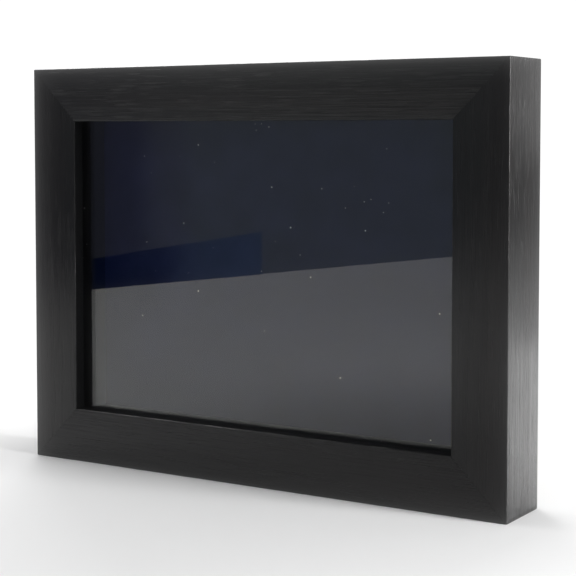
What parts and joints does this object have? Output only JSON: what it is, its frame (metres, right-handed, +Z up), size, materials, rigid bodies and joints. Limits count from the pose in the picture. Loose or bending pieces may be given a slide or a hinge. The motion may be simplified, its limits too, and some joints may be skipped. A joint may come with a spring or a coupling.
{
  "type": "shadow box frame",
  "caption": "Deep rear-loading display frame in black woodgrain with glass behind a lip, a lined cavity, a lift-out back held by turn buttons, and hangers for either way up.",
  "frame": {"origin": "bottom centre of the whole box's bounding box, hangers and screw heads included", "axes": "+Z up, -Y out of the glazed front, +X to the right as seen from the front, along the long side"},
  "size_m": [0.2066, 0.0298, 0.1559],
  "materials": {
    "black_woodgrain": "satin black with a fine open grain along each rail",
    "glass": "clear, polished",
    "black_strip": "matt black",
    "black_felt": "blue-black felt face, matt",
    "hardboard": "plain brown hardboard",
    "zinc_steel": "bright zinc plate",
    "brass_plate": "brass plate"
  },
  "bodies": {
    "case": {"button_screw_bottom_left": "zinc_steel", "button_screw_bottom_right": "zinc_steel", "button_screw_top_left": "zinc_steel", "button_screw_top_right": "zinc_steel", "glass_pane": "glass", "hanger_landscape": "brass_plate", "hanger_nail_landscape_a": "brass_plate", "hanger_nail_landscape_b": "brass_plate", "hanger_nail_portrait_a": "brass_plate", "hanger_nail_portrait_b": "brass_plate", "hanger_portrait": "brass_plate", "rail_bottom": "black_woodgrain", "rail_left": "black_woodgrain", "rail_right": "black_woodgrain", "rail_top": "black_woodgrain", "spacer_bottom": "black_strip", "spacer_left": "black_strip", "spacer_right": "black_strip", "spacer_top": "black_strip", "v_nail_bottom_left_inner": "zinc_steel", "v_nail_bottom_left_outer": "zinc_steel", "v_nail_bottom_right_inner": "zinc_steel", "v_nail_bottom_right_outer": "zinc_steel", "v_nail_top_left_inner": "zinc_steel", "v_nail_top_left_outer": "zinc_steel", "v_nail_top_right_inner": "zinc_steel", "v_nail_top_right_outer": "zinc_steel"},
    "back": {"back_panel": "hardboard", "lining_board": "black_felt"},
    "button_bottom_left": {"turn_button_bottom_left": "zinc_steel"},
    "button_bottom_right": {"turn_button_bottom_right": "zinc_steel"},
    "button_top_left": {"turn_button_top_left": "zinc_steel"},
    "button_top_right": {"turn_button_top_right": "zinc_steel"}
  },
  "joints": [
    {"name": "back_slide", "type": "slide", "parent": "case", "child": "back", "axis": [0, 1, 0], "range_m": [0, 0.06]},
    {"name": "button_bottom_left_turn", "type": "hinge", "parent": "case", "child": "button_bottom_left", "pos_m": [-0.052, 0.01265, 0.00673], "axis": [0, 1, 0], "range_deg": [0, 90]},
    {"name": "button_bottom_right_turn", "type": "hinge", "parent": "case", "child": "button_bottom_right", "pos_m": [0.052, 0.01265, 0.00673], "axis": [0, -1, 0], "range_deg": [0, 90]},
    {"name": "button_top_left_turn", "type": "hinge", "parent": "case", "child": "button_top_left", "pos_m": [-0.052, 0.01265, 0.14918], "axis": [0, -1, 0], "range_deg": [0, 90]},
    {"name": "button_top_right_turn", "type": "hinge", "parent": "case", "child": "button_top_right", "pos_m": [0.052, 0.01265, 0.14918], "axis": [0, 1, 0], "range_deg": [0, 90]}
  ]
}
